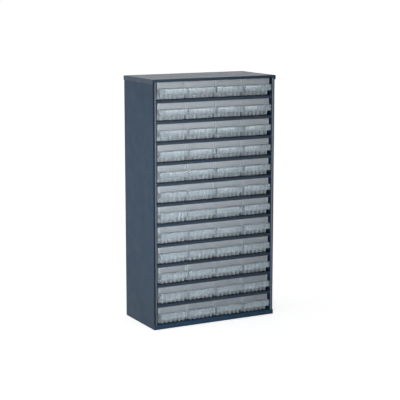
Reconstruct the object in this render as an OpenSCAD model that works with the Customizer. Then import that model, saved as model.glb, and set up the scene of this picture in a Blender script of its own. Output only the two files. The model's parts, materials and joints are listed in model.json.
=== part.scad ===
// Parts bin cabinet: a painted sheet-steel case with rows of clear plastic drawers.
// +Z is up, the drawers face -Y and +X is to the right of someone facing them.
// The origin is at the bottom centre of the whole cabinet, drawer grips included.

/* [Drawer bank] */
// Number of drawer columns
columns = 4; // [2:1:4]
// Number of drawer rows
rows = 12; // [2:1:12]
// Gap between neighbouring drawer fronts
column_gap = 1; // [0.6:0.1:3]
// Running clearance under a drawer
drawer_lift = 0.3; // [0.2:0.1:0.6]
// Gap between a drawer's top edge and the lip above it
lip_gap = 0.6; // [0.4:0.1:2]
// Gap between a closed drawer and the stop behind it
stop_gap = 0.4; // [0.3:0.1:2]

/* [Drawer] */
// Width of a drawer front
drawer_w = 69; // [55:1:90]
// Height of a drawer
drawer_h = 38; // [34:1:60]
// Depth of the tray, from its front wall to its back
drawer_len = 121; // [80:1:200]
// Thickness of the tray's walls
drawer_wall = 1.5; // [1.2:0.1:2.2]
// Thickness of the tray's floor
drawer_floor = 1.6; // [1.2:0.1:2.5]
// How much narrower each side of the tray is than the front, at its top
tray_inset = 1.1; // [0.9:0.1:2]
// Draft of each tray wall over its height
tray_draft = 0.4; // [0.2:0.1:0.8]
// Radius of the tray's upright corners
tray_corner_r = 4; // [2.5:0.5:6]
// Radius of the edges along the sides of the tray's floor
tray_floor_r = 3; // [2:0.5:3]
// Chamfer along the front and back of the tray's floor
tray_chamfer = 2; // [1.7:0.1:3]
// Width of the rim round the top of the tray
rim_out = 0.7; // [0.4:0.1:0.8]
// Height of that rim
rim_h = 2; // [1:0.5:4]
// How far the foot of the front wall is set back
toe_set = 5; // [2:0.5:8]
// Height of the stop ears over the tray's top edge
ear_h = 4.3; // [2:0.1:5]
// Width of each stop ear
ear_w = 12; // [6:1:20]
// Chamfer on the outer corner of each stop ear
ear_cut = 1; // [0.5:0.5:2]

/* [Drawer front] */
// Height of the label band
label_band_h = 13.1; // [9:0.1:18]
// Width of the cheek at each end of the label band
cheek_w = 3.6; // [2:0.1:6]
// How far the cheeks stand out
cheek_out = 1.4; // [1:0.1:2]
// How far the cheeks overlap a label card
cheek_lip = 1.6; // [0.8:0.1:2.5]
// Depth of the slot for the label card
label_slot = 0.6; // [0.4:0.1:0.8]
// How far the grip stands out from the front wall
grip_out = 12; // [8:0.5:16]
// Height of the grip's face
grip_h = 13.3; // [9:0.1:16]
// How much each end of the grip is set in
grip_inset = 1.2; // [0.5:0.1:4]
// Radius of the grip's long edges
grip_r = 1.4; // [0.8:0.1:1.4]
// Number of ribs behind the grip
grip_ribs = 6; // [3:1:7]
// Distance between the ribs
rib_pitch = 10.4; // [8:0.1:10.4]
// Thickness of a rib
rib_t = 1.4; // [1:0.1:2]
// Gap for the fingertips between the grip's face and the ribs
finger_gap = 5; // [4:0.5:7]

/* [Divider slots] */
// Number of divider slots along the tray
divider_slots = 3; // [1:1:5]
// Width of a slot
slot_w = 1.3; // [1:0.1:2]
// Width of the rib on each side of a slot
slot_rib_w = 0.9; // [0.7:0.1:1.5]
// How far those ribs stand out from the wall
slot_rib_out = 1; // [0.6:0.1:1.5]

/* [Case] */
// Space behind the stops that the closed drawers rest against
rear_space = 21.6; // [12:0.1:60]
// Thickness of the outer sheets
sheet = 0.9; // [0.7:0.1:1.2]
// Thickness of the shelves and the back
thin_sheet = 0.8; // [0.6:0.1:1]
// Outer radius of the bends
bend_r = 1.5; // [1.3:0.1:1.6]
// How far the drawer fronts stand back from the case's front
front_set = 7; // [5:0.5:10]
// Height of the base rail, and of the lowest drawer floor
base_h = 10.8; // [8:0.1:30]
// Width of the flange turned in under the base
base_return = 12; // [8:1:25]

/* [Cap] */
// How far the cap stands over each side
cap_over = 1; // [0.9:0.1:2]
// Height of the cap's side and back flanges
cap_flange = 10; // [7:0.5:20]

/* [Front uprights] */
// Width of an upright's rounded face
upright_w = 5.5; // [4:0.1:8]
// Depth of an upright
upright_d = 16; // [12:1:25]
// Gap between the end drawers and the uprights
upright_gap = 4.9; // [3:0.1:8]
// Width of the groove between an upright and the side panel's edge
groove_w = 2.1; // [1.8:0.1:4]
// Depth of that groove
groove_d = 1.8; // [1.7:0.1:3]
// Depth of the tab that joins an upright to the side panel
tab_d = 8; // [5:1:15]

/* [Shelves] */
// Height of the lip along a shelf's front edge
lip_h = 6.2; // [5.5:0.1:10]
// How far the lips stand back from the case's front
lip_set = 1; // [0.5:0.1:2]
// Height of the stop along a shelf's back edge
stop_h = 6; // [4:0.5:10]
// Height of a shelf's end flanges
end_flange = 8; // [5:0.5:15]
// Width of the guide ridges between the drawers
ridge_w = 2.4; // [1.6:0.1:2.4]
// Height of the guide ridges
ridge_h = 3; // [2:0.1:5]
// Distance from the case's front to the ridges
ridge_start = 22; // [15:1:40]
// Distance from the ridges to the stop behind them
ridge_end = 10; // [5:1:30]

/* [Back panel] */
// Width of the flanges turned forward
back_flange = 10; // [6:0.5:16]
// Distance from the case's sides to the wall holes
wall_hole_side = 32; // [20:1:60]
// Distance from the case's top and bottom to the wall holes
wall_hole_end = 51; // [30:1:60]
// Radius of the wall holes
wall_hole_r = 3.25; // [2:0.25:5]

/* [Hidden] */
$fn = 48;
steel = [0.16, 0.22, 0.29];
steel_dark = [0.12, 0.17, 0.23];
clear_plastic = [0.80, 0.86, 0.89, 0.75];
lap = 0.1;                                    // overlap of each bend with its flat sheets

col_pitch = drawer_w + column_gap;
row_pitch = drawer_lift + drawer_h + lip_gap + lip_h;
bank_w = columns * col_pitch - column_gap;
case_h = base_h + rows * row_pitch;
case_d = front_set + drawer_len + stop_gap + rear_space;

upright_in = bank_w / 2 + upright_gap;        // inner face of an upright
upright_out = upright_in + upright_w;         // outer face of an upright
side_out = upright_out + groove_w;            // outer face of a side panel
side_in = side_out - sheet;                   // inner face of a side panel
cap_side = side_out + cap_over;               // outer face of the cap's side flange

grip_over = grip_out - front_set;             // how far the grips pass the case's front
front_y = -(case_d - grip_over) / 2;          // face of the case
back_y = front_y + case_d;                    // back of the cap's rear flange
drawer_y = front_y + front_set;               // front wall of the drawers
stop_y = drawer_y + drawer_len + stop_gap;    // face of the shelves' rear stops
panel_back_y = back_y - sheet;                // outer face of the back panel
panel_in_y = panel_back_y - thin_sheet;       // inner face of the back panel

ledge_z = drawer_h - label_band_h;            // top of the grip
grip_bottom = ledge_z - grip_h;
rib_front = grip_out - drawer_wall - finger_gap;
tray_w = drawer_w - 2 * tray_inset;

function drawer_name(r, c) = str("drawer_row", r < 10 ? "0" : "", r, "_col", c);
function shelf_z(r) = case_h - r * row_pitch; // floor of row r, counted from the top
function column_x(c) = (c - (columns + 1) / 2) * col_pitch;
function unit(v) = v / norm(v);

// ---- Helpers ----

// Draws its 2D child in X and Z, and runs it from y0 to y1.
module along_y(y0, y1) {
    translate([0, y1, 0]) rotate([90, 0, 0]) linear_extrude(y1 - y0) children();
}

// Draws its 2D child in Y and Z, and runs it from x0 to x1.
module along_x(x0, x1) {
    translate([x0, 0, 0]) rotate([90, 0, 90]) linear_extrude(x1 - x0) children();
}

// Draws its 2D child in X and Y, and runs it from z0 to z1.
module along_z(z0, z1) {
    translate([0, 0, z0]) linear_extrude(z1 - z0) children();
}

module box(low, high) {
    translate(low) cube(high - low);
}

// A sheet bend of outer radius r and thickness t, a quarter turn in the +X +Y corner about c,
// with a short straight end on each side of the turn.
module bend_corner(c, r, t, turn = 0) {
    translate(c) rotate(turn) {
        intersection() {
            difference() { circle(r); circle(r - t); }
            square(2 * r);
        }
        translate([-lap, r - t]) square([lap, t]);
        translate([r - t, -lap]) square([t, lap]);
    }
}

// Convex outline with true arcs: corner i of pts is rounded to radius rs[i].
module rounded_outline(pts, rs) {
    n = len(pts);
    before = [for (i = [0 : n - 1]) unit(pts[(i + n - 1) % n] - pts[i])];
    after = [for (i = [0 : n - 1]) unit(pts[(i + 1) % n] - pts[i])];
    half = [for (i = [0 : n - 1]) acos(before[i] * after[i]) / 2];
    centre = [for (i = [0 : n - 1])
        pts[i] + unit(before[i] + after[i]) * rs[i] / sin(half[i])];
    start = [for (i = [0 : n - 1]) pts[i] + before[i] * rs[i] / tan(half[i])];
    end = [for (i = [0 : n - 1]) pts[i] + after[i] * rs[i] / tan(half[i])];
    inner = [for (i = [0 : n - 1])
        rs[i] > 0 ? centre[i] + unit(pts[i] - centre[i]) * rs[i] / 2 : pts[i]];
    polygon([for (i = [0 : n - 1])
        each rs[i] > 0 ? [start[i], inner[i], end[i]] : [pts[i]]]);
    for (i = [0 : n - 1]) if (rs[i] > 0) intersection() {
        translate(centre[i]) circle(rs[i]);
        polygon([centre[i], 2 * start[i] - centre[i],
                 2 * pts[i] - centre[i], 2 * end[i] - centre[i]]);
    }
}

// ---- Case ----

// Plan of the left side panel: a plain sheet with its front edge turned in.
module side_panel_plan() {
    y0 = front_y + groove_d;
    translate([-side_out, y0 + bend_r]) square([sheet, panel_back_y - y0 - bend_r]);
    bend_corner([-side_out + bend_r, y0 + bend_r], bend_r, sheet, 180);
    translate([-side_out + bend_r, y0]) square([groove_w - bend_r, sheet]);
}

module side_panel() {
    along_z(0, case_h - bend_r) side_panel_plan();
}

module side_panel_left() {
    color(steel) side_panel();
}

module side_panel_right() {
    color(steel) mirror([1, 0, 0]) side_panel();
}

// Solid block with the cap's rounded top edges, taken in by an inset.
module cap_block(inset, h0) {
    r = bend_r - inset;
    x = cap_side - inset;
    y0 = front_y + inset;
    y1 = back_y - inset;
    top = case_h - inset;
    intersection() {
        along_y(y0, y1)
            rounded_outline([[-x, h0], [x, h0], [x, top], [-x, top]], [0, 0, r, r]);
        along_x(-x, x)
            rounded_outline([[y0, h0], [y1, h0], [y1, top], [y0, top]], [0, 0, r, r]);
    }
}

module top_cap() {
    color(steel) difference() {
        cap_block(0, case_h - cap_flange);
        cap_block(sheet, case_h - cap_flange - 1);
        // the front flange is only as high as a shelf's lip
        box([-cap_side + sheet, front_y - 1, case_h - cap_flange - 1],
            [cap_side - sheet, front_y + sheet + 1, case_h - lip_h]);
    }
}

// Side view of the base's front rail: its face with the bends above and below it.
module base_rail() {
    translate([front_y, bend_r]) square([sheet, base_h - 2 * bend_r]);
    bend_corner([front_y + bend_r, base_h - bend_r], bend_r, sheet, 90);
    bend_corner([front_y + bend_r, bend_r], bend_r, sheet, 180);
}

module base_pan() {
    step_y = front_y + groove_d + sheet;
    color(steel) {
        along_x(-side_out, side_out) base_rail();
        along_x(-upright_out, upright_out) {
            translate([front_y + bend_r, base_h - sheet])
                square([step_y + sheet - front_y - bend_r, sheet]);
            translate([front_y + bend_r, 0]) square([base_return - bend_r, sheet]);
        }
        box([-side_in, step_y, base_h - sheet], [side_in, panel_in_y - bend_r, base_h]);
        along_x(-side_in, side_in) {
            bend_corner([panel_in_y - bend_r, base_h - bend_r], bend_r, sheet);
            translate([panel_in_y - sheet, bend_r]) square([sheet, base_h - 2 * bend_r]);
            bend_corner([panel_in_y - bend_r, bend_r], bend_r, sheet, 270);
            translate([panel_in_y - base_return, 0]) square([base_return - bend_r, sheet]);
        }
        // stop behind the lowest drawers, on a foot
        along_x(-side_in, side_in) translate([stop_y, base_h - sheet / 2]) {
            square([thin_sheet, sheet / 2 + stop_h]);
            square([stop_h, sheet / 2 + thin_sheet]);
        }
    }
}

// Plan of the back panel: a flat sheet with its side edges turned forward.
module back_plan() {
    x = side_in - bend_r;
    translate([-x, panel_in_y]) square([2 * x, thin_sheet]);
    for (side = [0, 1]) mirror([side, 0]) {
        bend_corner([x, panel_back_y - bend_r], bend_r, thin_sheet);
        translate([side_in - thin_sheet, panel_back_y - back_flange])
            square([thin_sheet, back_flange - bend_r]);
    }
}

// Side view of the back panel's top edge, turned forward under the cap.
module back_top_flange() {
    top = case_h - sheet;
    bend_corner([panel_back_y - bend_r, top - bend_r], bend_r, thin_sheet);
    translate([panel_back_y - back_flange, top - thin_sheet])
        square([back_flange - bend_r, thin_sheet]);
}

module back_panel() {
    hole_x = side_out - wall_hole_side;
    color(steel_dark) difference() {
        union() {
            box([-side_in, panel_in_y, 0], [side_in, panel_back_y, base_h + thin_sheet]);
            along_z(base_h, case_h - sheet - bend_r) back_plan();
            along_x(-side_in + back_flange, side_in - back_flange) back_top_flange();
        }
        for (x = [-hole_x, hole_x], z = [wall_hole_end, case_h - wall_hole_end])
            translate([x, panel_in_y - 1, z])
                rotate([-90, 0, 0]) cylinder(r = wall_hole_r, h = thin_sheet + 2);
    }
}

// Plan of the left upright: a rounded bead, an inner wall, and a tab on the side panel.
module upright_plan() {
    r = upright_w / 2;
    y_back = front_y + upright_d;
    // bead, its outer leg and the inner wall
    translate([-upright_in - r, front_y + r]) {
        intersection() {
            difference() { circle(r); circle(r - sheet); }
            translate([-2 * r, -2 * r]) square([4 * r, 2 * r]);
        }
        translate([-r, 0]) square([sheet, upright_d / 2]);
        translate([r - sheet, 0]) square([sheet, upright_d - bend_r - r]);
    }
    // web that turns out to the side panel
    bend_corner([-upright_in - bend_r, y_back - bend_r], bend_r, sheet);
    translate([-side_in + bend_r, y_back - sheet])
        square([side_in - upright_in - 2 * bend_r, sheet]);
    bend_corner([-side_in + bend_r, y_back + bend_r - sheet], bend_r, sheet, 180);
    translate([-side_in, y_back + bend_r - sheet]) square([sheet, tab_d]);
}

module upright() {
    along_z(base_h, case_h - lip_h) upright_plan();
}

module front_upright_left() {
    color(steel) upright();
}

module front_upright_right() {
    color(steel) mirror([1, 0, 0]) upright();
}

// Rounded bars welded on a floor at height 0, which keep the drawers of its row in line.
module guide_row() {
    r = ridge_w / 2;
    crown = ridge_h - r;
    for (i = [0 : columns])
        along_y(front_y + ridge_start, stop_y - ridge_end)
            translate([(i - columns / 2) * col_pitch, crown]) {
                translate([-r, -crown]) square([ridge_w, crown]);
                intersection() {
                    circle(r);
                    translate([-ridge_w, 0]) square([2 * ridge_w, ridge_w]);
                }
            }
}

module guide_ridges() {
    color(steel_dark) for (r = [1 : rows]) translate([0, 0, shelf_z(r)]) guide_row();
}

// Side view of a shelf's front lip, with the shelf's top at height 0.
module shelf_lip() {
    y0 = front_y + lip_set;
    translate([y0, -lip_h]) square([thin_sheet, lip_h - bend_r]);
    bend_corner([y0 + bend_r, -bend_r], bend_r, thin_sheet, 90);
}

// Side view of a shelf's floor from y0 back, and of the stop behind it.
module shelf_floor(y0) {
    y1 = stop_y + thin_sheet;
    translate([y0, -thin_sheet]) square([y1 - bend_r - y0, thin_sheet]);
    bend_corner([y1 - bend_r, bend_r - thin_sheet], bend_r, thin_sheet, 270);
    translate([y1 - thin_sheet, bend_r - thin_sheet])
        square([thin_sheet, stop_h - bend_r + thin_sheet]);
}

// End flange of a shelf, turned down against the left side panel.
module shelf_end() {
    bend_corner([-side_in + bend_r, -bend_r], bend_r, thin_sheet, 90);
    translate([-side_in, -end_flange]) square([thin_sheet, end_flange - bend_r]);
}

module shelf() {
    notch_y = front_y + upright_d + bend_r - sheet + tab_d;
    x = side_in - bend_r;
    along_x(-upright_in, upright_in) {
        shelf_lip();
        shelf_floor(front_y + lip_set + bend_r);
    }
    for (side = [0, 1]) mirror([side, 0, 0]) {
        along_x(-x, -upright_in + sheet) shelf_floor(notch_y);
        along_y(notch_y, stop_y + thin_sheet - bend_r) shelf_end();
    }
}

module shelves() {
    color(steel_dark) for (r = [1 : rows - 1]) translate([0, 0, shelf_z(r)]) shelf();
}

// ---- Drawer: x from its middle, y back from its front wall, z up from its underside ----

// The tray's block, taken in all round by an inset, with its floor at floor_z.
module tray_block(inset, floor_z, top) {
    half_top = tray_w / 2 - inset;
    half_low = half_top - tray_draft;
    back = drawer_len - inset;
    floor_r = tray_floor_r - inset;
    corner_r = tray_corner_r - inset;
    cut = tray_chamfer - inset / 2;
    toe_slope = toe_set / ledge_z;
    intersection() {
        along_y(-1, drawer_len + 1)
            rounded_outline([[-half_low, floor_z], [half_low, floor_z],
                             [half_top, top], [-half_top, top]], [floor_r, floor_r, 0, 0]);
        along_x(-drawer_w, drawer_w)
            polygon([[inset + toe_set + cut, floor_z], [back - tray_draft - cut, floor_z],
                     [back - tray_draft, floor_z + cut], [back, top], [inset, top],
                     [inset, ledge_z], [inset + toe_set - toe_slope * cut, floor_z + cut]]);
        along_z(floor_z, top)
            rounded_outline([[-half_top, inset], [half_top, inset],
                             [half_top, back], [-half_top, back]],
                            [0, 0, corner_r, corner_r]);
    }
}

// Projecting grip: a ledge, a face and two ends, open underneath.
module grip() {
    half = drawer_w / 2 - grip_inset;
    foot_y = toe_set * (ledge_z - grip_bottom) / ledge_z + drawer_wall / 2;
    difference() {
        along_x(-half, half)
            rounded_outline([[-grip_out, grip_bottom], [foot_y, grip_bottom],
                             [drawer_wall / 2, ledge_z], [-grip_out, ledge_z]],
                            [grip_r / 2, 0, 0, grip_r]);
        box([-half + drawer_wall, -grip_out + drawer_wall, grip_bottom - 1],
            [half - drawer_wall, toe_set + drawer_wall, ledge_z - drawer_wall]);
    }
}

// Ribs under the ledge, from the front wall out to the finger gap.
module grip_rib_row() {
    foot = tray_floor_r / 2;
    for (i = [0 : grip_ribs - 1])
        along_x((i - (grip_ribs - 1) / 2) * rib_pitch - rib_t / 2,
                (i - (grip_ribs - 1) / 2) * rib_pitch + rib_t / 2)
            polygon([[-rib_front, ledge_z - drawer_wall / 2], [-rib_front, 2 * foot],
                     [-rib_front + foot, foot], [toe_set + drawer_wall / 2, foot],
                     [drawer_wall / 2, ledge_z - drawer_wall / 2]]);
}

// Front plate over the grip, with a slot for a label card between two cheeks.
module label_band() {
    half = drawer_w / 2;
    box([-half, 0, ledge_z - drawer_wall], [half, drawer_wall, drawer_h]);
    for (side = [0, 1]) mirror([side, 0, 0]) difference() {
        along_z(ledge_z - drawer_wall, drawer_h)
            rounded_outline([[half - cheek_w - cheek_lip, -cheek_out], [half, -cheek_out],
                             [half, drawer_wall / 2],
                             [half - cheek_w - cheek_lip, drawer_wall / 2]],
                            [0, cheek_out / 2, 0, 0]);
        box([half - cheek_w - cheek_lip - 1, -label_slot, ledge_z],
            [half - cheek_w, 1, drawer_h + 1]);
    }
}

// Plate that leaves the rim round the tray's top once the tray is hollowed out.
module tray_rim() {
    half = tray_w / 2 + rim_out;
    back = drawer_len;
    r = tray_corner_r;
    along_z(drawer_h - rim_h, drawer_h)
        rounded_outline([[-half, 0], [half, 0], [half, back], [-half, back]], [0, 0, r, r]);
}

// Pairs of ribs down the side walls, each pair holding a divider's edge.
module divider_ribs() {
    step = drawer_len / (divider_slots + 1);
    half = tray_w / 2 - drawer_wall;
    for (i = [1 : divider_slots], side = [-1, 1])
        translate([0, i * step + side * (slot_w + slot_rib_w) / 2 - slot_rib_w / 2, 0])
            for (end = [0, 1]) mirror([end, 0, 0])
                box([half - tray_draft - slot_rib_out, 0, drawer_floor * 3 / 4],
                    [half + drawer_wall / 8, slot_rib_w, drawer_h - rim_h]);
}

// Two ears on the back wall, which meet the lip above when the drawer is pulled out.
module stop_ears() {
    half = tray_w / 2 - tray_corner_r;
    for (side = [0, 1]) mirror([side, 0, 0])
        along_y(drawer_len - drawer_wall, drawer_len)
            polygon([[half - ear_w, drawer_h - rim_h], [half, drawer_h - rim_h],
                     [half, drawer_h + ear_h - ear_cut], [half - ear_cut, drawer_h + ear_h],
                     [half - ear_w + ear_h, drawer_h + ear_h]]);
}

module drawer_body() {
    difference() {
        union() {
            tray_block(0, 0, drawer_h);
            tray_rim();
        }
        tray_block(drawer_wall, drawer_floor, drawer_h + 1);
    }
    label_band();
    grip();
    grip_rib_row();
    divider_ribs();
    stop_ears();
}

module drawer(r, c) {
    color(clear_plastic)
        translate([column_x(c), drawer_y, shelf_z(r) + drawer_lift]) drawer_body();
}

side_panel_left();
side_panel_right();
top_cap();
base_pan();
back_panel();
front_upright_left();
front_upright_right();
shelves();
guide_ridges();
for (r = [1 : rows], c = [1 : columns])
    drawer(r, c);
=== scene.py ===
"""Parts bin cabinet: moulds its clear drawers, paints its steel case and sets the stage.

Laid out as an add-on, run as a script. Every length is in metres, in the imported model's frame:
+Z is up, the drawers face -Y and +X is to the right of someone who faces them.
"""

import json

import bmesh
import bpy
import numpy as np
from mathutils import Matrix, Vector

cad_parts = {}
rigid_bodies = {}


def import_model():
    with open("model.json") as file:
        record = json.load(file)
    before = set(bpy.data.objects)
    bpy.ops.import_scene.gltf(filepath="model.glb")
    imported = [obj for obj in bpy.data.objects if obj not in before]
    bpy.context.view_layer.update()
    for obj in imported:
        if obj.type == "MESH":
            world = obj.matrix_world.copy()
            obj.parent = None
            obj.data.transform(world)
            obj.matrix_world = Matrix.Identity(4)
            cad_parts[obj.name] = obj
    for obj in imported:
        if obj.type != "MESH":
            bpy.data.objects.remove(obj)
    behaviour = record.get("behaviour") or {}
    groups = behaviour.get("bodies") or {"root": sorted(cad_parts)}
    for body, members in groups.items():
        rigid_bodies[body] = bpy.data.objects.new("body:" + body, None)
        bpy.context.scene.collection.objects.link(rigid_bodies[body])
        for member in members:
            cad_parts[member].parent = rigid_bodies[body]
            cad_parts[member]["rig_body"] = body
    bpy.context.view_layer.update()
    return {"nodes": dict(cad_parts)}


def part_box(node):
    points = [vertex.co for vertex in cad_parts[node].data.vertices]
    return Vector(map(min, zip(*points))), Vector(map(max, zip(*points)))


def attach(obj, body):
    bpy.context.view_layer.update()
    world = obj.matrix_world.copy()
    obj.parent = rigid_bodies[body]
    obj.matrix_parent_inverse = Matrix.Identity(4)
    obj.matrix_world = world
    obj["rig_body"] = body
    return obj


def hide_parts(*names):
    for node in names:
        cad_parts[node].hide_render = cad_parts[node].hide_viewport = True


bl_info = {
    "name": "Parts Bin Cabinet",
    "version": (1, 0, 0),
    "blender": (4, 5, 0),
    "location": "View3D > Sidebar > Cabinet",
    "description": "Moulds the clear drawers, paints the steel case and lights the cabinet",
    "category": "Object",
}

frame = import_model()

MM = 0.001
DRAWERS = sorted(name for name in frame["nodes"] if name.startswith("drawer_row"))


def node_size(name):
    """Width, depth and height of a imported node."""
    low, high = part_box(name)
    return [high[i] - low[i] for i in range(3)]


DRAWER_BOX = node_size(DRAWERS[0])
DRAWER_HEIGHT = 38.0 * MM
GRIP_REACH = 12.0 * MM
TRAY_LENGTH = DRAWER_BOX[1] - GRIP_REACH

# Where shells are joined, one reaches into the other or stands back from its face by these, so
# that no two faces coincide.
TRAY_SETBACK = 0.15 * MM
PLATE_SETBACK = 0.05 * MM
EAR_SETBACK = 0.06 * MM
EAR_THINNING = 0.1 * MM
GRIP_ROOT_OUTSIDE = 0.9 * MM
GRIP_ROOT_INSIDE = 0.5 * MM
SLOT_RIB_ROOT = 0.125  # how deep a divider rib reaches into the wall, as a share of it
SLOT_RIB_SINK = 0.75  # how much of the floor's thickness lies under a divider rib
EAR_ROOT = 1.5  # how far the ears reach down the back wall, in rim heights

# Radii of small corners that no size of the drawer gives.
TRAY_FRONT_RADIUS = 0.3 * MM
LEAST_BACK_RADIUS = 0.4 * MM
LEAST_GRIP_RADIUS = 0.25 * MM
GRIP_ROOT_RADIUS = 0.05 * MM
RIB_NOSE_RADIUS = 0.8 * MM
PLATE_RADIUS = 0.4 * MM
CHEEK_TIP_RADIUS = 0.25 * MM
CHEEK_SLOT_RADIUS = 0.2 * MM
CHEEK_EDGE_SHARE = 0.6  # radius of the cheeks' end edges, as a share of the edge radius
SLOT_RIB_RADIUS = 0.35 * MM
SLOT_RIB_EDGE = 0.2 * MM
EAR_FOOT_RADIUS = 0.8 * MM
EAR_TOP_RADIUS = 1.2 * MM

WELD_DISTANCE = 0.002 * MM
SHARP_ANGLE = np.radians(32)

# A Mix node's sockets for two colours and for their mix.
MIX_FIRST, MIX_SECOND, MIX_RESULT = 6, 7, 2

# Powder coat: features a metre of its clouds, gloss patches, orange peel and waves, how far the
# gloss varies either way, and the strength and depth of the two reliefs.
COAT_CLOUDS = 9.0
COAT_PATCHES = 38.0
COAT_GLOSSIER, COAT_DULLER = 0.05, 0.06
COAT_PEEL, PEEL_STRENGTH, PEEL_DEPTH = 620.0, 0.22, 0.15 * MM
COAT_WAVES, COAT_WAVE_STRENGTH, COAT_WAVE_DEPTH = 9.0, 0.05, 1.0 * MM
INNER_CLOUD_SHADE = 0.82
# How far back from a piece's front its strip of painted shade goes, and the limits of one that
# goes all across.
SEAM_DEPTH = 1.2 * MM
CAP_FACE_DEPTH = 0.6 * MM
ALL_ACROSS = (0.0, 1.0)

# Clear plastic: features a metre of its flow lines, satin patches and waves, the stretch of the
# flow lines along the drawer, how far the satin varies, and where the tint of the cheeks, the
# ribs and the grip's skin begins: behind the front wall's face, before it, and before the ribs.
FLOW_LINES, FLOW_STRETCH = 45.0, (1.0, 0.35, 1.0)
SATIN_PATCHES, SATIN_RANGE = 60.0, 0.038
MOULD_WAVES, MOULD_WAVE_STRENGTH, MOULD_WAVE_DEPTH = 40.0, 0.05, 0.5 * MM
PLASTIC_IOR = 1.49
# The lighter tint of the cheeks and the ribs, which these places bound, is partly painted light.
CHEEK_DEPTH = 0.8 * MM
WEB_START = 0.4 * MM
SKIN_START = 1.0 * MM

# Stage: lengths in metres, angles in degrees, the lens and its sensor in millimetres.
FLOOR_REACH = 60.0
FLOOR_DROP = 0.05 * MM
FLOOR_GLOW = 0.66
FLOOR_CLOUDS = 0.7
FLOOR_CLOUD_SHADE = 0.97
KEY_LAMP = {"location": (-0.62, -0.95, 0.40), "target": (-0.20, -0.07, 0.33),
            "size": (0.40, 0.7), "spread": 38}
FRONT_LAMP = {"location": (0.60, -1.35, 0.46), "target": (-0.05, -0.07, 0.36),
              "size": (0.42, 0.55), "spread": 40}
CAMERA_PLACE = (-1.2992, -2.4493, 0.7530)
CAMERA_TARGET = (-0.0007, 0.0, 0.2687)
CAMERA_LENS = 111.33
CAMERA_SENSOR = 36.0
CAMERA_RANGE = 200.0


# ---- Sizes and colours ----


def length(name, description, default):
    """A length property in metres, shown in the scene's units."""
    return bpy.props.FloatProperty(
        name=name, description=description, default=default, min=0.0,
        unit="LENGTH", subtype="DISTANCE", precision=5,
    )


def colour(name, description, default):
    """A colour property, linear and without alpha."""
    return bpy.props.FloatVectorProperty(
        name=name, description=description, default=default, min=0.0, max=1.0,
        size=3, subtype="COLOR",
    )


def share(name, description, default):
    """A share from 0 to 1."""
    return bpy.props.FloatProperty(
        name=name, description=description, default=default, min=0.0, max=1.0, subtype="FACTOR")


class DrawerSizes(bpy.types.PropertyGroup):
    """Sizes of one moulded drawer."""

    front_width: length("Front width", "Width of the label plate", DRAWER_BOX[0])
    height: length("Height", "Height of the drawer without its stop ears", DRAWER_HEIGHT)
    ear_height: length("Ear height", "Height of the stop ears over the rim",
                       DRAWER_BOX[2] - DRAWER_HEIGHT)
    grip_out: length("Grip reach", "How far the grip stands out from the front wall", GRIP_REACH)
    tray_width: length("Tray width", "Width of the tray at its top", 66.8 * MM)
    wall: length("Wall", "Thickness of the walls", 1.5 * MM)
    floor: length("Floor", "Thickness of the floor", 1.6 * MM)
    draft: length("Draft", "How much each wall leans over its height", 0.4 * MM)
    corner_radius: length("Corner radius", "Radius of the upright corners at the back", 4.0 * MM)
    floor_radius: length("Floor radius", "Radius of the edges round the floor", 2.6 * MM)
    rim_out: length("Rim width", "How far the rim stands out", 0.7 * MM)
    rim_height: length("Rim height", "Height of the rim", 2.0 * MM)
    toe_set: length("Toe set", "How far the foot of the front wall is set back", 5.0 * MM)
    label_height: length("Label height", "Height of the label plate over the grip", 13.1 * MM)
    cheek_width: length("Cheek width", "Width of the cheek at each end of the label plate",
                        3.6 * MM)
    cheek_lip: length("Cheek lip", "How far the cheeks reach over a label card", 1.6 * MM)
    cheek_out: length("Cheek reach", "How far the cheeks stand out", 1.4 * MM)
    card_slot: length("Card slot", "Depth of the slot for the label card", 0.6 * MM)
    grip_height: length("Grip height", "Height of the grip's face", 13.3 * MM)
    grip_inset: length("Grip inset", "How much each end of the grip is set in", 0.6 * MM)
    grip_radius: length("Grip radius", "Radius of the grip's top edge", 1.4 * MM)
    finger_gap: length("Finger gap", "Gap between the grip's face and the ribs", 5.0 * MM)
    rib_pitch: length("Rib pitch", "Distance between the ribs under the grip", 10.4 * MM)
    rib_thickness: length("Rib thickness", "Thickness of those ribs", 1.4 * MM)
    rib_count: bpy.props.IntProperty(
        name="Ribs", description="Number of ribs under the grip", default=6, min=1, max=9)
    slot_count: bpy.props.IntProperty(
        name="Divider slots", description="Number of divider slots along the tray",
        default=3, min=1, max=6)
    slot_width: length("Slot width", "Width of a divider slot", 1.3 * MM)
    slot_rib: length("Slot rib", "Width of the rib on each side of a slot", 0.9 * MM)
    slot_out: length("Slot rib reach", "How far those ribs stand out from the wall", 1.0 * MM)
    ear_width: length("Ear width", "Width of each stop ear", 12.0 * MM)
    edge: length("Edge radius", "Radius of the moulding's small edges", 0.3 * MM)


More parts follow.
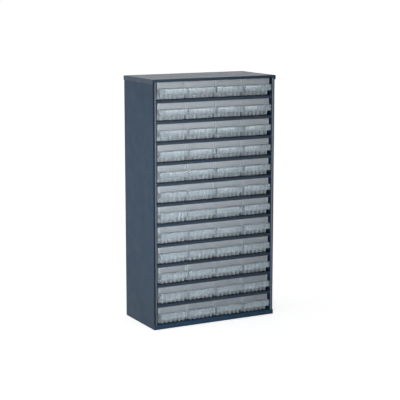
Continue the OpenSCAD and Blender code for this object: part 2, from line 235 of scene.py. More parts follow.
class PlasticFinish(bpy.types.PropertyGroup):
    """Finish of the moulded drawers."""

    tint: colour("Tint", "Colour of the clear plastic where it is thin", (0.63, 0.71, 0.77))
    tint_thick: colour("Thick tint", "Colour where more of it has gathered", (0.70, 0.77, 0.82))
    # Partly painted light: the ribs, the foot under the grip and the cheeks take this lighter
    # tint, both for thick plastic and for the light they catch.
    milky_and_lit_tint: colour("Edge tint", "Colour of edges and solid corners, which catch light",
                      (0.84, 0.89, 0.92))
    skin_tint: colour("Skin tint", "Colour of the grip's thin skin", (0.70, 0.80, 0.86))
    clearness: share("Clearness", "Share of light that passes through the tray and label plate",
                     0.72)
    skin_clearness: share("Skin clearness", "Share of light that passes through the grip", 0.85)
    solid_clearness: share("Solid clearness", "Share of light that passes through solid ribs", 0.5)
    # These three shares are painted light in part: how much of the lighter tint the ribs, the foot
    # under the grip and the cheeks take.
    rib_light: share("Rib light", "How much the ribs take the edge tint", 0.5)
    foot_light: share("Foot light", "How much the wall under the grip takes it", 0.15)
    cheek_light: share("Cheek light", "How much the cheeks take the edge tint", 0.45)
    satin: share("Satin", "How matt the tray and label plate are", 0.282)
    skin_polish: share("Skin polish", "How much smoother the grip is", 0.16)


class SteelFinish(bpy.types.PropertyGroup):
    """Finish of the painted sheets."""

    paint: colour("Paint", "Main colour of the powder coat", (0.015, 0.045, 0.087))
    paint_deep: colour("Deep paint", "Colour of its darker clouds", (0.013, 0.039, 0.076))
    # The shaded paint is a darker, greyer copy of the paint: painted shade on the shelves and
    # guide ridges inside the case, and on the cap's front face.
    shaded_paint: colour("Inner paint",
                        "Main colour on the shelves, the guide ridges and the cap's front",
                        (0.021, 0.038, 0.061))
    # The seam colour and the two widths below make a strip of painted shade, dark and fully matt,
    # beside each bead.
    seam: colour("Seam", "Colour in the seam beside each bead", (0.003, 0.006, 0.010))
    panel_seam: length("Panel seam", "Distance from a side panel's outside to the seam", 0.6 * MM)
    bead_seam: length("Bead seam", "How far the seam reaches in from an upright's outside",
                      2.9 * MM)
    roughness: share("Roughness", "How matt the powder coat is", 0.40)
    sheen: share("Sheen", "How much light the flat sheets mirror", 0.15)
    cap_sheen: share("Cap sheen", "How much light the cap mirrors", 0.36)
    bead_sheen: share("Bead sheen", "How much light the rolled beads mirror", 1.0)


class StageLight(bpy.types.PropertyGroup):
    """Floor, lamps and sky."""

    floor_tint: colour("Floor", "Colour of the floor", (0.82, 0.82, 0.82))
    sky: bpy.props.FloatProperty(
        name="Sky", description="Strength of the even light from all round",
        default=0.45, min=0.0, max=2.0)
    key_power: bpy.props.FloatProperty(
        name="Key lamp", description="Power of the main lamp, to the front left",
        default=1.15, min=0.0, unit="POWER")
    front_power: bpy.props.FloatProperty(
        name="Front lamp",
        description="Power of the tall soft box that shows in the drawer fronts",
        default=0.17, min=0.0, unit="POWER")


# ---- Surfaces worked out with numpy ----


def quarter_turn(steps):
    """Angles from 0 to a right angle, in even steps."""
    return np.linspace(0.0, np.pi / 2, steps + 1)


def ring_stack(left, right, front, back, front_r, back_r, height, points=7):
    """Level rectangles with round corners, one over the other: an array (station, point, xyz).

    A corner's centre is set in by the corner's radius, and its points are the centre plus the
    radius times (cos a, sin a), with a going a quarter turn per corner, anticlockwise from +X.
    """
    rows = np.broadcast_arrays(*[np.asarray(v, float) for v in
                                 (left, right, front, back, front_r, back_r, height)])
    left, right, front, back, front_r, back_r, height = (row[:, None] for row in rows)
    corner = np.repeat(np.arange(4), points)
    angle = (corner + np.tile(np.linspace(0.0, 1.0, points), 4)) * np.pi / 2
    is_right = (corner == 0) | (corner == 3)
    is_back = corner < 2
    radius = np.where(is_back, back_r, front_r)
    x = np.where(is_right, right - radius, left + radius) + radius * np.cos(angle)
    y = np.where(is_back, back - radius, front + radius) + radius * np.sin(angle)
    return np.stack([x, y, np.broadcast_to(height, x.shape)], axis=-1)


def loft(grid, hanging=False):
    """Closed shell over a stack of rings: a quad joins points j and j + 1 of rings k and k + 1,
    and the first and last rings are closed with a flat face each. hanging turns the faces round,
    for a stack that starts at the top."""
    stations, points = grid.shape[:2]
    k, j = np.meshgrid(np.arange(stations - 1), np.arange(points), indexing="ij")
    after = (j + 1) % points
    quads = np.stack([k * points + j, k * points + after,
                      (k + 1) * points + after, (k + 1) * points + j], axis=-1).reshape(-1, 4)
    ring = np.arange(points)
    faces = quads.tolist() + [ring[::-1].tolist(), (ring + (stations - 1) * points).tolist()]
    if hanging:
        faces = [face[::-1] for face in faces]
    return grid.reshape(-1, 3), faces


def rounded_outline(corners, radii, points=5):
    """Outline (point, uv) with an arc at each corner: its centre lies on the corner's bisector
    at radius / sin(half angle), and its points turn evenly from one side's tangent point to
    the other's. Corners run anticlockwise; a radius of 0 keeps the corner."""
    corners = np.asarray(corners, float)
    before = np.roll(corners, 1, axis=0) - corners
    after = np.roll(corners, -1, axis=0) - corners
    before /= np.linalg.norm(before, axis=1, keepdims=True)
    after /= np.linalg.norm(after, axis=1, keepdims=True)
    half = np.arccos(np.clip((before * after).sum(axis=1), -1, 1)) / 2
    bisector = before + after
    bisector /= np.linalg.norm(bisector, axis=1, keepdims=True)
    outline = []
    for i, radius in enumerate(radii):
        if radius <= 0:
            outline.append(corners[i][None])
            continue
        centre = corners[i] + bisector[i] * radius / np.sin(half[i])
        start = corners[i] + before[i] * radius / np.tan(half[i]) - centre
        end = corners[i] + after[i] * radius / np.tan(half[i]) - centre
        sweep = np.arccos(np.clip(start @ end / radius**2, -1, 1))
        part = np.linspace(0.0, 1.0, points)[:, None]
        outline.append(centre + (np.sin((1 - part) * sweep) * start
                                 + np.sin(part * sweep) * end) / np.sin(sweep))
    return np.concatenate(outline)


def taken_in(outline, inset):
    """The outline moved inwards: each point goes along the bisector of its two sides' inward
    normals, by inset / cos(half the turn)."""
    sides = np.roll(outline, -1, axis=0) - outline
    sides /= np.linalg.norm(sides, axis=1, keepdims=True)
    normals = np.stack([-sides[:, 1], sides[:, 0]], axis=-1)
    both = normals + np.roll(normals, 1, axis=0)
    return outline + both * (2 * inset / (both**2).sum(axis=1, keepdims=True))


def bar(outline, low, high, edge, axis, steps=3):
    """Closed bar: an outline carried from low to high along an axis ("x", "y" or "z"), with its
    end edges rounded by taking the outline in by edge (1 - sin a) at edge (1 - cos a) from the
    end. The outline's own two axes are the next two after that axis, in the order x, y, z."""
    angle = quarter_turn(steps)
    inset = edge * (1 - np.sin(angle))
    along = edge * (1 - np.cos(angle))
    insets = np.concatenate([inset, inset[::-1]])
    places = np.concatenate([low + along, high - along[::-1]])
    rings = np.stack([taken_in(outline, each) for each in insets])
    level = np.broadcast_to(places[:, None, None], rings.shape[:2] + (1,))
    grid = np.concatenate([rings, level], axis=-1)
    return loft(np.roll(grid, {"z": 0, "x": 1, "y": 2}[axis], axis=-1))


# ---- Meshes ----


def plain_mesh(name, points, faces):
    """A mesh from an array of points and a list of faces."""
    mesh = bpy.data.meshes.new(name)
    mesh.from_pydata(points, [], faces)
    mesh.update()
    return mesh


def shown(name, mesh):
    """A new object for the mesh, in the scene."""
    piece = bpy.data.objects.new(name, mesh)
    bpy.context.scene.collection.objects.link(piece)
    return piece


def fused(name, shells):
    """One closed mesh from overlapping closed shells. The first shell is joined with all the
    others, and what lies inside another shell is gone."""
    others = bpy.data.collections.new(name + "_shells")
    bpy.context.scene.collection.children.link(others)
    body = shown(name + "_body", plain_mesh(name, *shells[0]))
    parts = []
    for number, shell in enumerate(shells[1:]):
        part = bpy.data.objects.new(f"{name}_{number}", plain_mesh(name, *shell))
        others.objects.link(part)
        parts.append(part)
    union = body.modifiers.new("Union", "BOOLEAN")
    union.operation = "UNION"
    union.solver = "EXACT"
    union.operand_type = "COLLECTION"
    union.collection = others
    graph = bpy.context.evaluated_depsgraph_get()
    mesh = bpy.data.meshes.new_from_object(body.evaluated_get(graph))
    for part in [body] + parts:
        old = part.data
        bpy.data.objects.remove(part)
        bpy.data.meshes.remove(old)
    bpy.data.collections.remove(others)

    work = bmesh.new()
    work.from_mesh(mesh)
    bmesh.ops.remove_doubles(work, verts=work.verts, dist=WELD_DISTANCE)
    bmesh.ops.dissolve_degenerate(work, edges=work.edges, dist=WELD_DISTANCE)
    open_edges = sum(1 for edge in work.edges if len(edge.link_faces) != 2)
    volume = work.calc_volume(signed=True)
    work.to_mesh(mesh)
    work.free()
    if open_edges or volume <= 0:
        raise RuntimeError(f"{name} isn't closed: {open_edges} open edges, volume {volume}")
    return mesh


# ---- Materials ----


class Recipe:
    """A node material under construction."""

    def __init__(self, name):
        self.material = bpy.data.materials.new(name)
        self.material.use_nodes = True
        self.tree = self.material.node_tree
        self.tree.nodes.clear()
        self.shader = self.add("ShaderNodeBsdfPrincipled")
        output = self.add("ShaderNodeOutputMaterial")
        self.join(self.shader.outputs["BSDF"], output.inputs["Surface"])
        self.place = self.add("ShaderNodeTexCoord").outputs["Object"]

    def add(self, kind, **settings):
        """A new node of a kind, with its settings."""
        node = self.tree.nodes.new(kind)
        for key, value in settings.items():
            setattr(node, key, value)
        return node

    def join(self, source, target):
        """Links an output to an input."""
        self.tree.links.new(source, target)

    def noise(self, scale, detail=2.0, roughness=0.5, stretch=None):
        """Noise over the piece's own coordinates: scale is the number of features a metre."""
        node = self.add("ShaderNodeTexNoise")
        node.inputs["Scale"].default_value = scale
        node.inputs["Detail"].default_value = detail
        node.inputs["Roughness"].default_value = roughness
        place = self.place
        if stretch:
            mapping = self.add("ShaderNodeMapping")
            mapping.inputs["Scale"].default_value = stretch
            self.join(place, mapping.inputs["Vector"])
            place = mapping.outputs["Vector"]
        self.join(place, node.inputs["Vector"])
        return node.outputs["Fac"]

    def spread(self, value, low, high, start=0.3, end=0.7):
        """Turns a value between start and end into one between low and high. Most of a noise
        lies between 0.3 and 0.7."""
        node = self.add("ShaderNodeMapRange")
        limits = {"From Min": start, "From Max": end, "To Min": low, "To Max": high}
        for key, number in limits.items():
            node.inputs[key].default_value = number
        self.join(value, node.inputs["Value"])
        return node.outputs["Result"]

    def maths(self, operation, first, second=0.0):
        """Result of one operation on two values, which are numbers or sockets."""
        node = self.add("ShaderNodeMath", operation=operation)
        for socket, value in zip(node.inputs, (first, second)):
            if isinstance(value, bpy.types.NodeSocket):
                self.join(value, socket)
            else:
                socket.default_value = value
        return node.outputs["Value"]

    def past(self, value, place, soft=0.3 * MM):
        """1 where a length is greater than a place, 0 where it is less, over a soft step."""
        return self.spread(value, 0.0, 1.0, place - soft, place + soft)

    def split(self, vector):
        """The three coordinates of a vector socket."""
        axes = self.add("ShaderNodeSeparateXYZ")
        self.join(vector, axes.inputs["Vector"])
        return tuple(axes.outputs)

    def where(self, *shares):
        """The product of shares from 0 to 1: 1 where all of them are."""
        total = shares[0]
        for each in shares[1:]:
            total = self.maths("MULTIPLY", total, each)
        return total

    def blend(self, amount, first, second):
        """A colour between two colours, which are tuples or sockets."""
        node = self.add("ShaderNodeMix", data_type="RGBA")
        self.join(amount, node.inputs["Factor"])
        for place, tone in ((MIX_FIRST, first), (MIX_SECOND, second)):
            socket = node.inputs[place]
            if isinstance(tone, bpy.types.NodeSocket):
                self.join(tone, socket)
            else:
                socket.default_value = (*tone, 1.0)
        return node.outputs[MIX_RESULT]

    def relief(self, height, strength, depth):
        """Bump from a height, added to any that is there already."""
        node = self.add("ShaderNodeBump")
        node.inputs["Strength"].default_value = strength
        node.inputs["Distance"].default_value = depth
        self.join(height, node.inputs["Height"])
        normal = self.shader.inputs["Normal"]
        if normal.is_linked:
            self.join(normal.links[0].from_socket, node.inputs["Normal"])
        self.join(node.outputs["Normal"], normal)


def powder_coat(name, paint, paint_deep, roughness, sheen, strip):
    """Powder coat on steel: soft clouds of colour, an orange-peel relief about a millimetre
    across, and a gloss that varies a little. A strip is painted shade: a dark colour and the
    limits within which the coat takes it and is fully matt, so that no highlight shows there: the
    nearest and furthest distance from the middle plane, and the place behind which it ends.
    Without a strip it is None."""
    recipe = Recipe(name)
    shader = recipe.shader
    clouds = recipe.spread(recipe.noise(COAT_CLOUDS, detail=3.0), 0.0, 1.0)
    tone = recipe.blend(clouds, tuple(paint_deep), tuple(paint))
    gloss = recipe.spread(recipe.noise(COAT_PATCHES, detail=3.0),
                          roughness - COAT_GLOSSIER, roughness + COAT_DULLER)
    # Painted shade: inside the strip the coat takes the dark colour and full roughness, so that it
    # shows no highlight.
    if strip:
        shade_tone, start, end, back = strip
        across, behind, _ = recipe.split(recipe.place)
        aside = recipe.maths("ABSOLUTE", across)
        inward = recipe.maths("MULTIPLY", aside, -1.0)
        forward = recipe.maths("MULTIPLY", behind, -1.0)
        inside = recipe.where(recipe.past(aside, start), recipe.past(inward, -end),
                              recipe.past(forward, -back))
        tone = recipe.blend(inside, tone, shade_tone)
        gloss = recipe.maths("MAXIMUM", gloss, inside)
    recipe.join(tone, shader.inputs["Base Color"])
    recipe.join(gloss, shader.inputs["Roughness"])
    recipe.relief(recipe.noise(COAT_PEEL, detail=1.5), PEEL_STRENGTH, PEEL_DEPTH)
    recipe.relief(recipe.noise(COAT_WAVES, detail=0.0), COAT_WAVE_STRENGTH, COAT_WAVE_DEPTH)
    shader.inputs["Specular IOR Level"].default_value = sheen
    return recipe.material


def mould_masks(recipe, finish, size):
    """Where the moulding is solid, from 0 to 1, and where it is the thin skin of the grip. Both
    read the place in the mould: across from the middle, back from the front wall, and up. The
    solid places are the cheeks over the ledge, the foot of the front wall under it, and the
    ribs' webs between that leaning wall and the skin. Each is weighted by its share of the
    lighter tint, which is partly the milkier look of thick plastic and partly painted light: a
    painted highlight on the cheeks and ribs, and painted light in the shade under the grip at
    the foot."""
    place = recipe.add("ShaderNodeAttribute", attribute_name="in_mould").outputs["Vector"]
    across, back, up = recipe.split(place)
    across = recipe.maths("ABSOLUTE", across)
    ahead = recipe.maths("MULTIPLY", back, -1.0)
    over_ledge = recipe.past(up, ledge_height(size))
    under_ledge = recipe.maths("SUBTRACT", 1.0, over_ledge)
    cheek = recipe.where(recipe.past(across, size.front_width / 2 - size.cheek_width),
                         over_ledge, recipe.past(ahead, -CHEEK_DEPTH))
    skin = recipe.past(ahead, size.grip_out - size.wall - size.finger_gap + SKIN_START)
    foot = recipe.where(under_ledge, recipe.past(ahead, -size.toe_set - size.wall))
    lean = recipe.spread(up, size.toe_set, 0.0, start=0.0, end=ledge_height(size))
    web = recipe.where(under_ledge, recipe.past(recipe.maths("ADD", ahead, lean), WEB_START),
                       recipe.maths("SUBTRACT", 1.0, skin))
    solid = recipe.maths("MAXIMUM", recipe.maths("MULTIPLY", cheek, finish.cheek_light),
                         recipe.maths("MULTIPLY", foot, finish.foot_light))
    solid = recipe.maths("MAXIMUM", solid, recipe.maths("MULTIPLY", web, finish.rib_light))
    return solid, skin


def moulded_plastic(name, finish, size):
    """Milky clear plastic. The thin skin of the grip lets most light through; the ribs, the foot
    and the cheeks are solid, let less light through and take a lighter tint, which is partly the
    milkier look of thick plastic and partly painted light. Faint flow lines run along the tray,
    and the surface has a slight waviness and a gloss that varies a little."""
    recipe = Recipe(name)
    shader = recipe.shader
    solid, skin = mould_masks(recipe, finish, size)
    lines = recipe.noise(FLOW_LINES, detail=3.0, roughness=0.55, stretch=FLOW_STRETCH)
    flow = recipe.spread(lines, 0.0, 1.0)
    tone = recipe.blend(flow, tuple(finish.tint), tuple(finish.tint_thick))
    # Painted light, in part: the ribs, the foot and the cheeks blend towards the lighter tint.
    tone = recipe.blend(solid, tone, tuple(finish.milky_and_lit_tint))
    recipe.join(recipe.blend(skin, tone, tuple(finish.skin_tint)), shader.inputs["Base Color"])
    milky = recipe.spread(solid, finish.clearness, finish.solid_clearness, start=0.0, end=1.0)
    thin = recipe.maths("MULTIPLY", skin, finish.skin_clearness - finish.clearness)
    recipe.join(recipe.maths("ADD", milky, thin), shader.inputs["Transmission Weight"])
    satin = recipe.spread(recipe.noise(SATIN_PATCHES, detail=1.0),
                          finish.satin, finish.satin + SATIN_RANGE)
    polish = recipe.maths("MULTIPLY", skin, finish.skin_polish)
    recipe.join(recipe.maths("SUBTRACT", satin, polish), shader.inputs["Roughness"])
    recipe.relief(recipe.noise(MOULD_WAVES, detail=0.0), MOULD_WAVE_STRENGTH, MOULD_WAVE_DEPTH)
    shader.inputs["IOR"].default_value = PLASTIC_IOR
    return recipe.material


def seen_directly(tree):
    """1 for a ray from the camera, a reflection or a clear piece, otherwise 0."""
    path = tree.nodes.new("ShaderNodeLightPath")
    total = path.outputs["Is Camera Ray"]
    for name in ("Is Glossy Ray", "Is Transmission Ray"):
        larger = tree.nodes.new("ShaderNodeMath")
        larger.operation = "MAXIMUM"
        tree.links.new(total, larger.inputs[0])
        tree.links.new(path.outputs[name], larger.inputs[1])
        total = larger.outputs["Value"]
    return total


def floor_finish(name, tint):
    """Pale floor: matt, and lit from itself for what looks at it directly or by a reflection,
    so that it reads as a plain background and still takes the shadow."""
    material = bpy.data.materials.new(name)
    material.use_nodes = True
    tree = material.node_tree
    tree.nodes.clear()
    add, join = tree.nodes.new, tree.links.new
    matt = add("ShaderNodeBsdfDiffuse")
    glow = add("ShaderNodeEmission")
    glow.inputs["Strength"].default_value = FLOOR_GLOW
    clouds = add("ShaderNodeTexNoise")
    clouds.inputs["Scale"].default_value = FLOOR_CLOUDS
    tones = add("ShaderNodeMix")
    tones.data_type = "RGBA"
    tones.inputs[MIX_FIRST].default_value = (*tint, 1.0)
    tones.inputs[MIX_SECOND].default_value = (*[FLOOR_CLOUD_SHADE * value for value in tint], 1.0)
    join(add("ShaderNodeTexCoord").outputs["Object"], clouds.inputs["Vector"])
    join(clouds.outputs["Fac"], tones.inputs["Factor"])
    join(tones.outputs[MIX_RESULT], matt.inputs["Color"])
    both = add("ShaderNodeAddShader")
    join(matt.outputs["BSDF"], both.inputs[0])
    join(glow.outputs["Emission"], both.inputs[1])
    choice = add("ShaderNodeMixShader")
    join(seen_directly(tree), choice.inputs["Fac"])
    join(matt.outputs["BSDF"], choice.inputs[1])
    join(both.outputs["Shader"], choice.inputs[2])
    join(choice.outputs["Shader"], add("ShaderNodeOutputMaterial").inputs["Surface"])
    return material


# ---- Drawers, at their own origin ----
#
# x runs from the middle, y back from the front wall, and z up from the underside. The joined
# shells overlap, and fused() takes away what lies inside another shell.


def ledge_height(size):
    """Height of the grip's ledge, where the label plate begins."""
    return size.height - size.label_height


def front_wall(size, height):
    """Place of the front wall's face: it leans back from the grip's ledge down to the foot, by
    the toe set times 1 - height / ledge height."""
    return size.toe_set * np.maximum(0.0, 1 - np.asarray(height) / ledge_height(size))


def tray_shell(size):
    """The tray as one stack of level rings: up the outside from the floor, over the rim and down
    the inside to the floor. Round the floor, the wall is set in by r (1 - sin a) at the height
    r (1 - cos a), and the walls lean in evenly from the rim down by the draft."""
    turn = quarter_turn(5)
    r_out, r_in = size.floor_radius, size.floor_radius - size.wall / 2
    top, edge = size.height, size.edge
    under_rim = top - size.rim_height
    outside = np.linspace(r_out, under_rim, 4)[1:]
    small = quarter_turn(3)
    rim = size.rim_out
    height = np.concatenate([
        r_out * (1 - np.cos(turn)), outside,
        [under_rim], top - edge + edge * np.sin(small), top - edge + edge * np.cos(small),
        np.linspace(top - edge, size.floor + r_in, 4)[1:],
        size.floor + r_in * (1 - np.sin(turn[1:]))])
    inset = np.concatenate([
        r_out * (1 - np.sin(turn)), np.zeros(3),
        [-rim], -rim + edge * (1 - np.cos(small)), size.wall - edge * (1 - np.sin(small)),
        np.full(3, size.wall),
        size.wall + r_in * (1 - np.cos(turn[1:]))])
    lean = size.draft * (1 - height / top)
    half = size.tray_width / 2 - lean - inset
    back = TRAY_LENGTH - lean - np.maximum(inset, 0.0)
    front = front_wall(size, height) + TRAY_SETBACK + np.maximum(inset, 0.0)
    back_r = np.maximum(size.corner_radius - inset, LEAST_BACK_RADIUS)
    front_r = np.full_like(height, TRAY_FRONT_RADIUS)
    return loft(ring_stack(-half, half, front, back, front_r, back_r, height))


def grip_shell(size):
    """The grip, an upside-down tray whose back lies in the front wall: over its top edge, down
    the outside, round the bottom edge and up the inside. Each edge is set in by r (1 - sin a)
    at r (1 - cos a) from its end."""
    ledge = ledge_height(size)
    bottom = ledge - size.grip_height
    wall, edge = size.wall, size.edge
    turn = quarter_turn(5)
    small = quarter_turn(3)
    big, inner = size.grip_radius, size.grip_radius / 2
    height = np.concatenate([
        ledge - big * (1 - np.cos(turn)), bottom + edge * (1 - np.sin(small)),
        bottom + edge * (1 - np.cos(small)), ledge - wall - inner + inner * np.sin(turn)])
    inset = np.concatenate([
        big * (1 - np.sin(turn)), edge * (1 - np.cos(small)),
        wall - edge * (1 - np.sin(small)), wall + inner * (1 - np.cos(turn))])
    half = size.front_width / 2 - size.grip_inset - inset
    front = -size.grip_out + inset
    outside = np.arange(len(height)) < len(turn) + len(small)
    back = front_wall(size, height) + np.where(outside, GRIP_ROOT_OUTSIDE, GRIP_ROOT_INSIDE)
    front_r = np.maximum(size.grip_radius - inset, LEAST_GRIP_RADIUS)
    return loft(ring_stack(-half, half, front, back, front_r, GRIP_ROOT_RADIUS, height),
                hanging=True)


def grip_ribs(size):
    """The ribs between the front wall and the finger gap, each a bar along x, evenly spaced
    about the middle."""
    nose = -(size.grip_out - size.wall - size.finger_gap)
    foot = size.wall
    top = ledge_height(size) - size.wall / 2
    into = size.wall / 2
    outline = rounded_outline(
        [(nose, 2 * foot), (nose + foot, foot), (front_wall(size, foot) + into, foot),
         (into, top), (nose, top)], [RIB_NOSE_RADIUS, RIB_NOSE_RADIUS, 0, 0, 0])
    middle = (np.arange(size.rib_count) - (size.rib_count - 1) / 2) * size.rib_pitch
    half = size.rib_thickness / 2
    return [bar(outline, x - half, x + half, size.edge, "x") for x in middle]


def label_plate(size):
    """The plate over the grip, a bar along y, and the slotted cheek at each of its ends, a bar
    along z."""
    half = size.front_width / 2
    low = ledge_height(size) - size.wall
    top = size.height - PLATE_SETBACK
    plate = bar(rounded_outline([(low, -half), (top, -half), (top, half), (low, half)],
                                [PLATE_RADIUS] * 4), 0.0, size.wall, size.edge, "y")
    inner = half - size.cheek_width
    lip = inner - size.cheek_lip
    cheek = rounded_outline(
        [(lip, -size.cheek_out), (half, -size.cheek_out), (half, size.wall / 2),
         (inner, size.wall / 2), (inner, -size.card_slot), (lip, -size.card_slot)],
        [CHEEK_TIP_RADIUS, size.cheek_out / 2, 0, 0, 0, CHEEK_SLOT_RADIUS])
    other = cheek[::-1] * (-1, 1)
    edge = size.edge * CHEEK_EDGE_SHARE
    return [plate] + [bar(side, low, size.height, edge, "z") for side in (cheek, other)]


def divider_ribs(size):
    """Pairs of upright ribs on the side walls, each pair holding a divider's edge. Each rib is a
    bar along z, and the pairs stand at even steps along the tray."""
    step = TRAY_LENGTH / (size.slot_count + 1)
    wall_face = size.tray_width / 2 - size.wall
    nose = wall_face - size.draft - size.slot_out
    root = wall_face + size.wall * SLOT_RIB_ROOT
    low, high = size.floor * SLOT_RIB_SINK, size.height - size.rim_height
    half = size.slot_rib / 2
    right = rounded_outline([(nose, -half), (root, -half), (root, half), (nose, half)],
                            [SLOT_RIB_RADIUS, 0, 0, SLOT_RIB_RADIUS])
    left = right[::-1] * (-1, 1)
    shells = []
    for number in range(1, size.slot_count + 1):
        for side in (-1, 1):
            y = number * step + side * (size.slot_width + size.slot_rib) / 2
            shells += [bar(outline + (0, y), low, high, SLOT_RIB_EDGE, "z")
                       for outline in (right, left)]
    return shells


def stop_ears(size):
    """Two ears on the back wall, bars along y, upright outside and slanted inside."""
    half = size.tray_width / 2 - size.corner_radius
    low = size.height - EAR_ROOT * size.rim_height
    top = size.height + size.ear_height
    lean = size.ear_width - size.ear_height
    right = rounded_outline(
        [(low, half - size.ear_width), (size.height, half - size.ear_width),
         (top, half - lean), (top, half), (low, half)],
        [0, EAR_FOOT_RADIUS, EAR_TOP_RADIUS, EAR_TOP_RADIUS, 0])[::-1]
    left = right[::-1] * (1, -1)
    back = TRAY_LENGTH - EAR_SETBACK
    return [bar(outline, back - size.wall + EAR_THINNING, back, size.edge, "y")
            for outline in (right, left)]


def drawer_shape(size):
    """One drawer's mesh at its own origin, smooth but for its sharp edges, and its points. The
    attribute in_mould keeps each point's place, for the plastic to read."""
    shells = [tray_shell(size), grip_shell(size), *label_plate(size), *grip_ribs(size),
              *divider_ribs(size), *stop_ears(size)]
    mesh = fused("drawer_shape", shells)
    points = np.empty(len(mesh.vertices) * 3)
    mesh.vertices.foreach_get("co", points)
    place = mesh.attributes.new("in_mould", "FLOAT_VECTOR", "POINT")
    place.data.foreach_set("vector", points)
    mesh.shade_smooth()
    mesh.set_sharp_from_angle(angle=SHARP_ANGLE)
    return mesh, points.reshape(-1, 3)


# ---- Operators ----


def painted(names, material):
    """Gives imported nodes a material."""
    for name in names:
        piece = frame["nodes"][name]
        if not piece.material_slots:
            piece.data.materials.append(material)
        for slot in piece.material_slots:
            slot.material = material


class PaintSheets:
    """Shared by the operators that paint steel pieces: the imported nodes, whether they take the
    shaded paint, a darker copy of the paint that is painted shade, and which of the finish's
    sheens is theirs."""

    nodes = ()
    inner = False
    sheen = "sheen"

    def strip(self, finish):
        """Colour and limits of the strip of painted shade, or None."""
        return None

    def execute(self, context):
        finish = context.scene.bin_cabinet_steel
        missing = [name for name in self.nodes if name not in frame["nodes"]]
        if missing:
            raise RuntimeError(f"the packed model lacks {missing}")
        # Painted shade: the inner pieces take the darker, greyer shaded paint.
        if self.inner:
            paint = finish.shaded_paint
            deep = [value * INNER_CLOUD_SHADE for value in paint]
        else:
            paint, deep = finish.paint, finish.paint_deep
        material = powder_coat("powder_coat_" + self.bl_idname.split("_")[-1], paint, deep,
                               finish.roughness, getattr(finish, self.sheen), self.strip(finish))
        painted(self.nodes, material)
        return {"FINISHED"}


class PaintShadedSeam(PaintSheets):
    """Shared by the pieces that meet in the seam beside each bead, which takes a strip of painted
    shade.
    """

    def strip(self, finish):
        # Painted shade over the bead's outer part and the side panel's front edge, in the seam
        # between them.
        panel_low, panel_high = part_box("side_panel_right")
        _, bead_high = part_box("front_upright_right")
        return (tuple(finish.seam), bead_high[0] - finish.bead_seam,
                panel_high[0] - finish.panel_seam, panel_low[1] + SEAM_DEPTH)


class CABINET_OT_paint_sides(PaintShadedSeam, bpy.types.Operator):
    """Paints the two side panels"""

    bl_idname = "bin_cabinet.paint_sides"
    bl_label = "Paint Side Panels"
    nodes = ("side_panel_left", "side_panel_right")


class CABINET_OT_paint_cap(PaintSheets, bpy.types.Operator):
    """Paints the top cap"""

    bl_idname = "bin_cabinet.paint_cap"
    bl_label = "Paint Top Cap"
    nodes = ("top_cap",)
    sheen = "cap_sheen"

    def strip(self, finish):
        low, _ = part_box("top_cap")
        # Painted shade: the cap's front face takes the darker shaded paint and is fully matt.
        return (tuple(finish.shaded_paint), *ALL_ACROSS, low[1] + CAP_FACE_DEPTH)


class CABINET_OT_paint_base(PaintSheets, bpy.types.Operator):
    """Paints the base pan"""

    bl_idname = "bin_cabinet.paint_base"
    bl_label = "Paint Base Pan"
    nodes = ("base_pan",)


class CABINET_OT_paint_back(PaintSheets, bpy.types.Operator):
    """Paints the back panel"""

    bl_idname = "bin_cabinet.paint_back"
    bl_label = "Paint Back Panel"
    nodes = ("back_panel",)


class CABINET_OT_paint_uprights(PaintShadedSeam, bpy.types.Operator):
    """Paints the two front uprights"""

    bl_idname = "bin_cabinet.paint_uprights"
    bl_label = "Paint Front Uprights"
    nodes = ("front_upright_left", "front_upright_right")
    sheen = "bead_sheen"


class CABINET_OT_paint_shelves(PaintSheets, bpy.types.Operator):
    """Paints the shelves"""

    bl_idname = "bin_cabinet.paint_shelves"
    bl_label = "Paint Shelves"
    nodes = ("shelves",)
    # Painted shade: the shelves take the shaded paint.
    inner = True


class CABINET_OT_paint_ridges(PaintSheets, bpy.types.Operator):
    """Paints the guide ridges between the drawers"""

    bl_idname = "bin_cabinet.paint_ridges"
    bl_label = "Paint Guide Ridges"
    nodes = ("guide_ridges",)
    # Painted shade: the guide ridges take the shaded paint.
    inner = True


class CABINET_OT_mould_drawers(bpy.types.Operator):
    """Moulds one clear drawer for each packed drawer"""

    bl_idname = "bin_cabinet.mould_drawers"
    bl_label = "Mould Drawers"

    def execute(self, context):
        size = context.scene.bin_cabinet_drawer
        material = moulded_plastic("clear_moulding", context.scene.bin_cabinet_plastic, size)
        shape, points = drawer_shape(size)
        shape.materials.append(material)
        for name in DRAWERS:
            low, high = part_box(name)
            origin = ((low[0] + high[0]) / 2, low[1] + size.grip_out, low[2])
            mesh = shape.copy()
            mesh.name = "moulded_" + name
            mesh.vertices.foreach_set("co", (points + origin).ravel())
            mesh.update()
            piece = shown("moulded_" + name, mesh)
            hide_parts(name)
            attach(piece, frame["nodes"][name]["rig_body"])
        bpy.data.meshes.remove(shape)
        return {"FINISHED"}


class CABINET_OT_set_stage(bpy.types.Operator):
    """Lays the floor, hangs the lamps and places the camera"""

    bl_idname = "bin_cabinet.set_stage"
    bl_label = "Set Stage"

    def execute(self, context):
        light = context.scene.bin_cabinet_stage
        context.scene.view_settings.view_transform = "Standard"
        lay_floor(light.floor_tint)
        lamp("key_lamp", power=light.key_power, **KEY_LAMP)
        lamp("front_lamp", power=light.front_power, **FRONT_LAMP)
        context.scene.world = even_sky(light.sky)
        context.scene.camera = camera_in_place()
        return {"FINISHED"}


def lay_floor(tint):
    """A wide floor just under the cabinet's lowest point."""
    reach = FLOOR_REACH
    floor = shown("studio_floor", plain_mesh(
        "studio_floor", [(-reach, -reach, 0), (reach, -reach, 0), (reach, reach, 0),
                         (-reach, reach, 0)], [(0, 1, 2, 3)]))
    floor.location.z = -FLOOR_DROP
    floor.data.materials.append(floor_finish("studio_floor", tint))


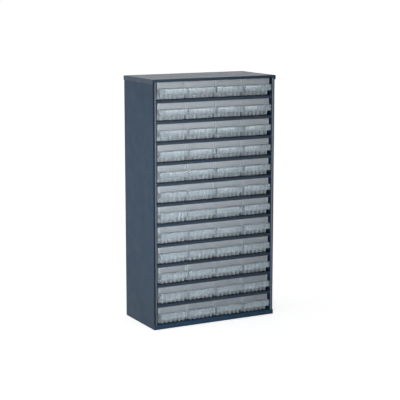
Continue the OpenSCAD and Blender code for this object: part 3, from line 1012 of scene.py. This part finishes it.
def even_sky(strength):
    """A sky of one strength all round for what it lights, and white for what looks at it."""
    world = bpy.data.worlds.new("studio_sky")
    world.use_nodes = True
    tree = world.node_tree
    tree.nodes.clear()
    shade, open_sky = (tree.nodes.new("ShaderNodeBackground") for _ in range(2))
    shade.inputs["Strength"].default_value = strength
    open_sky.inputs["Strength"].default_value = 1.0
    for background in (shade, open_sky):
        background.inputs["Color"].default_value = (1.0, 1.0, 1.0, 1.0)
    choice = tree.nodes.new("ShaderNodeMixShader")
    tree.links.new(seen_directly(tree), choice.inputs["Fac"])
    tree.links.new(shade.outputs["Background"], choice.inputs[1])
    tree.links.new(open_sky.outputs["Background"], choice.inputs[2])
    output = tree.nodes.new("ShaderNodeOutputWorld")
    tree.links.new(choice.outputs["Shader"], output.inputs["Surface"])
    return world


def camera_in_place():
    """The camera, to the front left of the cabinet and higher than its top."""
    camera = bpy.data.objects.new("studio_camera", bpy.data.cameras.new("studio_camera"))
    bpy.context.scene.collection.objects.link(camera)
    camera.location = CAMERA_PLACE
    look_at(camera, CAMERA_TARGET)
    camera.data.lens = CAMERA_LENS
    camera.data.sensor_width = CAMERA_SENSOR
    camera.data.clip_end = CAMERA_RANGE
    return camera


def look_at(thing, target):
    """Turns a camera or lamp so that it faces a point, with its top upwards."""
    direction = Vector(target) - thing.location
    thing.rotation_euler = direction.to_track_quat("-Z", "Y").to_euler()


def lamp(name, location, target, size, spread, power):
    """A soft box of a width and a height, which faces a point and spreads over an angle."""
    data = bpy.data.lights.new(name, "AREA")
    data.shape = "RECTANGLE"
    data.size, data.size_y = size
    data.spread = np.radians(spread)
    data.energy = power
    thing = bpy.data.objects.new(name, data)
    bpy.context.scene.collection.objects.link(thing)
    thing.location = location
    look_at(thing, target)
    thing.visible_camera = False


class CABINET_PT_pieces(bpy.types.Panel):
    """Lists the pieces of the cabinet"""

    bl_idname = "CABINET_PT_pieces"
    bl_label = "Parts Bin Cabinet"
    bl_space_type = "VIEW_3D"
    bl_region_type = "UI"
    bl_category = "Cabinet"

    def draw(self, context):
        column = self.layout.column(align=True)
        for operator in OPERATORS:
            column.operator(operator.bl_idname)
        for owner in SETTINGS:
            box = self.layout.box()
            group = getattr(context.scene, owner)
            for key in group.bl_rna.properties.keys():
                if key not in {"rna_type", "name"}:
                    box.prop(group, key)


SETTINGS = {
    "bin_cabinet_drawer": DrawerSizes,
    "bin_cabinet_plastic": PlasticFinish,
    "bin_cabinet_steel": SteelFinish,
    "bin_cabinet_stage": StageLight,
}
OPERATORS = (
    CABINET_OT_set_stage,
    CABINET_OT_paint_sides,
    CABINET_OT_paint_cap,
    CABINET_OT_paint_base,
    CABINET_OT_paint_back,
    CABINET_OT_paint_uprights,
    CABINET_OT_paint_shelves,
    CABINET_OT_paint_ridges,
    CABINET_OT_mould_drawers,
)
CLASSES = (*SETTINGS.values(), *OPERATORS, CABINET_PT_pieces)


def register():
    for each in CLASSES:
        bpy.utils.register_class(each)
    for owner, group in SETTINGS.items():
        setattr(bpy.types.Scene, owner, bpy.props.PointerProperty(type=group))


def unregister():
    for owner in SETTINGS:
        delattr(bpy.types.Scene, owner)
    for each in reversed(CLASSES):
        bpy.utils.unregister_class(each)


def main():
    register()
    for operator in OPERATORS:
        group, name = operator.bl_idname.split(".")
        getattr(getattr(bpy.ops, group), name)()
    bpy.context.view_layer.update()


if __name__ == "__main__":
    main()
